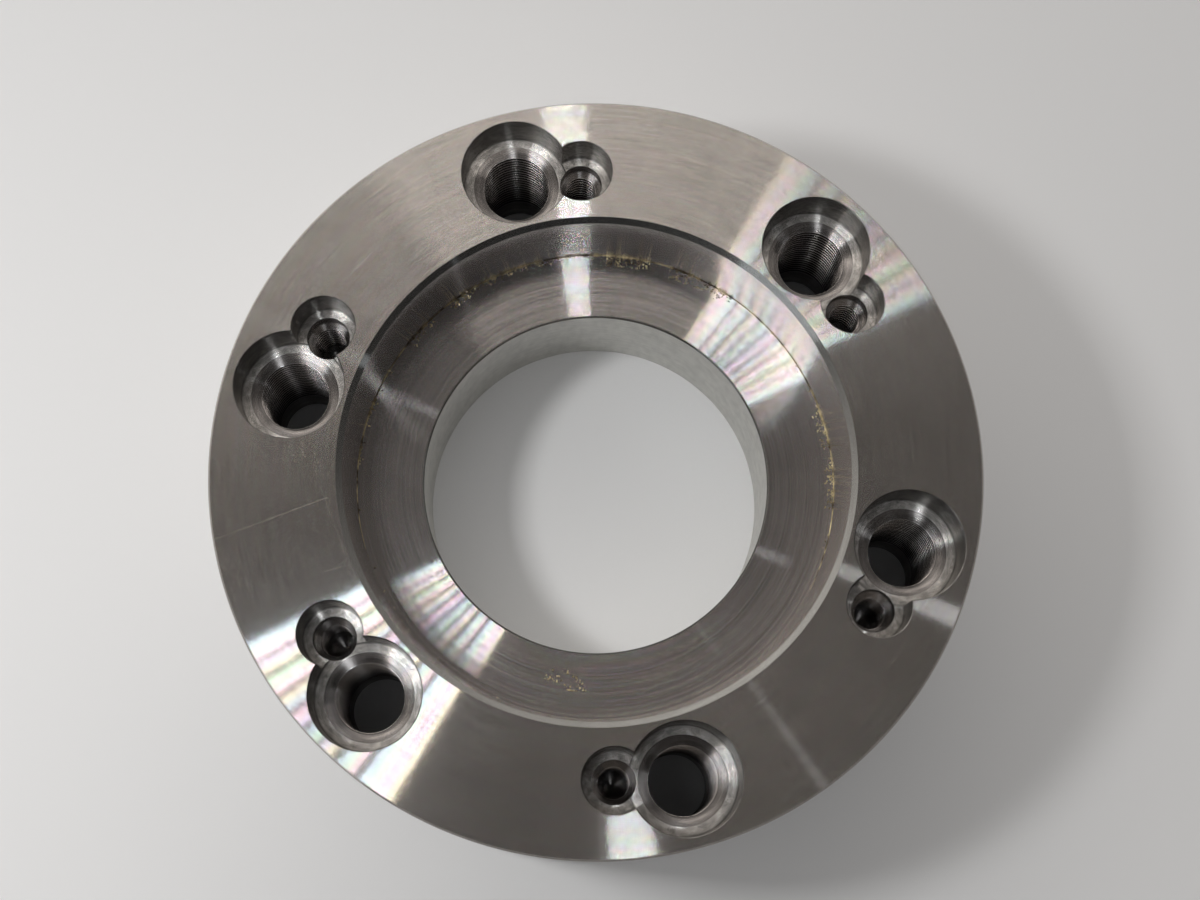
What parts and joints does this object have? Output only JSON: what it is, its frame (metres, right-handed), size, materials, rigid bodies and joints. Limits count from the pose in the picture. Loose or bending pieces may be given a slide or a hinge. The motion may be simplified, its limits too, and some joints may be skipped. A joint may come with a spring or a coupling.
{
  "type": "chuck backplate",
  "caption": "Round steel lathe chuck backplate with a tapered spindle recess, a through bore and pairs of stud and lock screw holes on a circle.",
  "frame": {"origin": "on the plate's axis, at the flat chuck side that it lies on", "axes": "+Z along the plate's axis, out of the spindle side; +X through the centre of the first stud hole"},
  "size_m": [0.161, 0.161, 0.045],
  "materials": {
    "turned_steel": "fine turned, bare"
  },
  "bodies": {
    "root": {"backplate": "turned_steel"}
  },
  "joints": []
}
